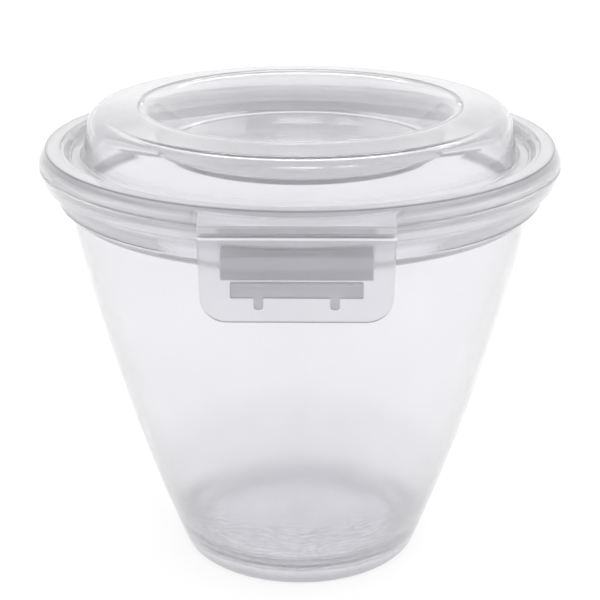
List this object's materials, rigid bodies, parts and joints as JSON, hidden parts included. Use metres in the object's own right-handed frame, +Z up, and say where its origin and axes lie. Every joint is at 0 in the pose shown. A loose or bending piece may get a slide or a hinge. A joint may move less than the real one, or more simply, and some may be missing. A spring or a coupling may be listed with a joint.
{
  "type": "clip-lid food tub",
  "caption": "Tapered round translucent plastic food tub with a stepped rim, a ring-domed lid with a stacking recess, and hinged clip flaps that hook under ledges on the rim.",
  "frame": {"origin": "centre of the foot ring, on the surface that the tub stands on", "axes": "+Z up along the tub's axis; -Y towards the front flap, +Y towards the rear flap"},
  "size_m": [0.12, 0.1268, 0.1097],
  "materials": {
    "tub": "translucent, lightly frosted moulded polypropylene",
    "lid": "translucent, smooth moulded polypropylene",
    "hinge": "thin flexed polypropylene web",
    "flap": "translucent, frosted moulded polypropylene"
  },
  "bodies": {
    "tub": {"tub": "tub"},
    "lid": {"lid": "lid", "front_hinge": "hinge", "rear_hinge": "hinge"},
    "front_flap": {"front_flap": "flap"},
    "rear_flap": {"rear_flap": "flap"}
  },
  "joints": [
    {"name": "lid_lift", "type": "slide", "parent": "tub", "child": "lid", "axis": [0, 0, 1], "range_m": [0, 0.025]},
    {"name": "front_flap_hinge", "type": "hinge", "parent": "lid", "child": "front_flap", "pos_m": [0, -0.0634, 0.0978], "axis": [-1, 0, 0], "range_deg": [0, 150], "deforming": ["front_hinge"]},
    {"name": "rear_flap_hinge", "type": "hinge", "parent": "lid", "child": "rear_flap", "pos_m": [0, 0.0634, 0.0978], "axis": [1, 0, 0], "range_deg": [0, 150], "deforming": ["rear_hinge"]}
  ],
  "couplings": [
    {"joint": "front_flap_hinge", "follows": "lid_lift", "rad_per_m": 104.7},
    {"joint": "rear_flap_hinge", "follows": "lid_lift", "rad_per_m": 104.7}
  ]
}
